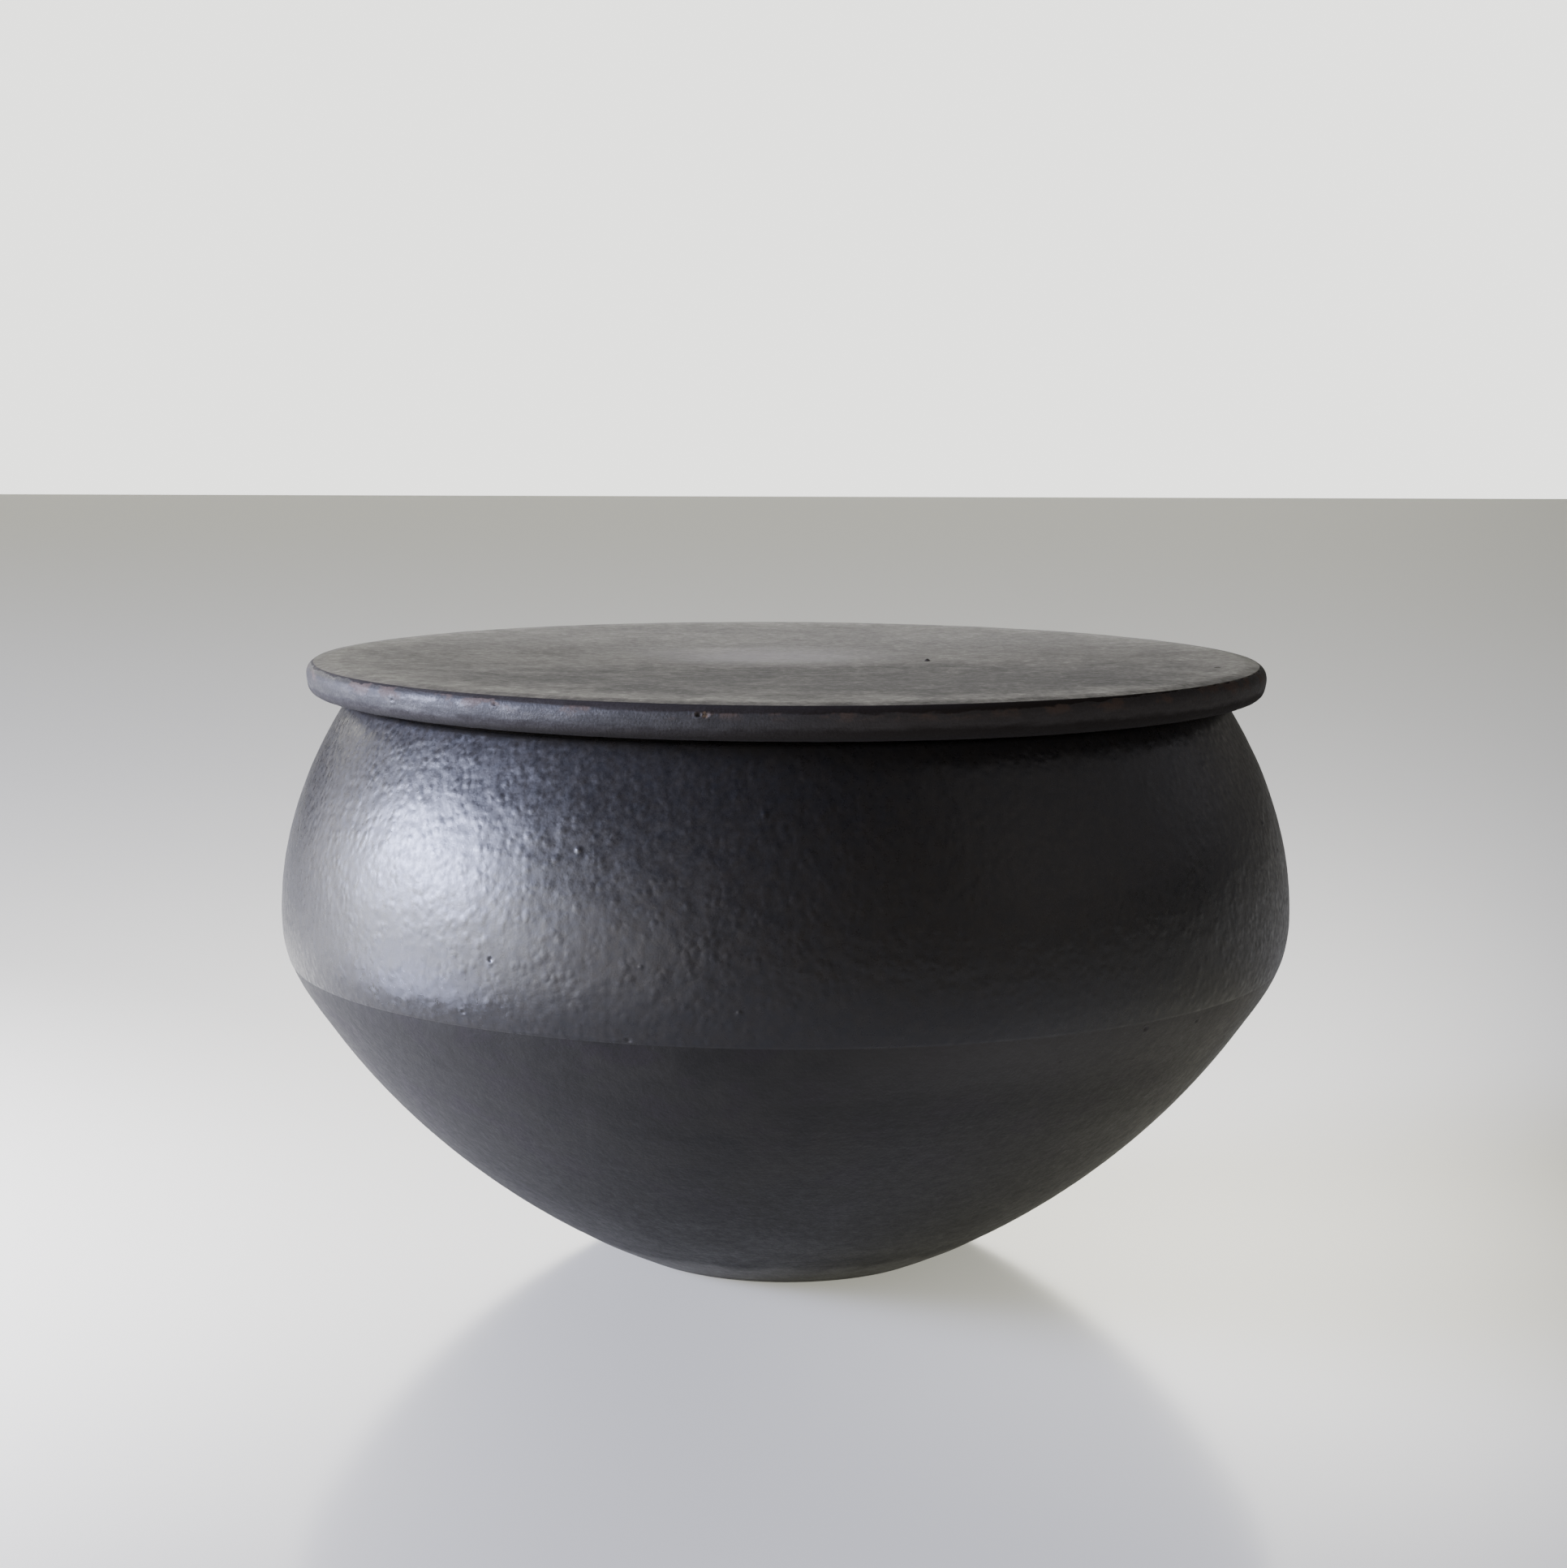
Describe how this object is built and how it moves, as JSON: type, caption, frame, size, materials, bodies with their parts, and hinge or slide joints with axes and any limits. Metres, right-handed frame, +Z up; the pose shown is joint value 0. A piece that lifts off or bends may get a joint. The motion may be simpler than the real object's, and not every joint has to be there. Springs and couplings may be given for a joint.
{
  "type": "lidded jar",
  "caption": "Wide, low dark stoneware jar with a full belly, a narrow foot and a flat overhanging lid that lifts off.",
  "frame": {"origin": "middle of the foot, at the plane that stands on the table", "axes": "+Z up along the wheel axis; the shape is round, so X and Y are free, and -Y faces the viewer of the picture"},
  "size_m": [0.24, 0.24, 0.1428],
  "materials": {
    "jar_stoneware": "near-black fired stoneware: satin with a pebbled skin above the belly line, matt below it",
    "lid_stoneware": "dark brown-black fired stoneware, satin, with turning marks and a worn rim"
  },
  "bodies": {
    "jar": {"jar_body": "jar_stoneware"},
    "lid": {"lid": "lid_stoneware"}
  },
  "joints": [
    {"name": "lid_lift", "type": "slide", "parent": "jar", "child": "lid", "axis": [0, 0, 1], "range_m": [0, 0.15]}
  ]
}
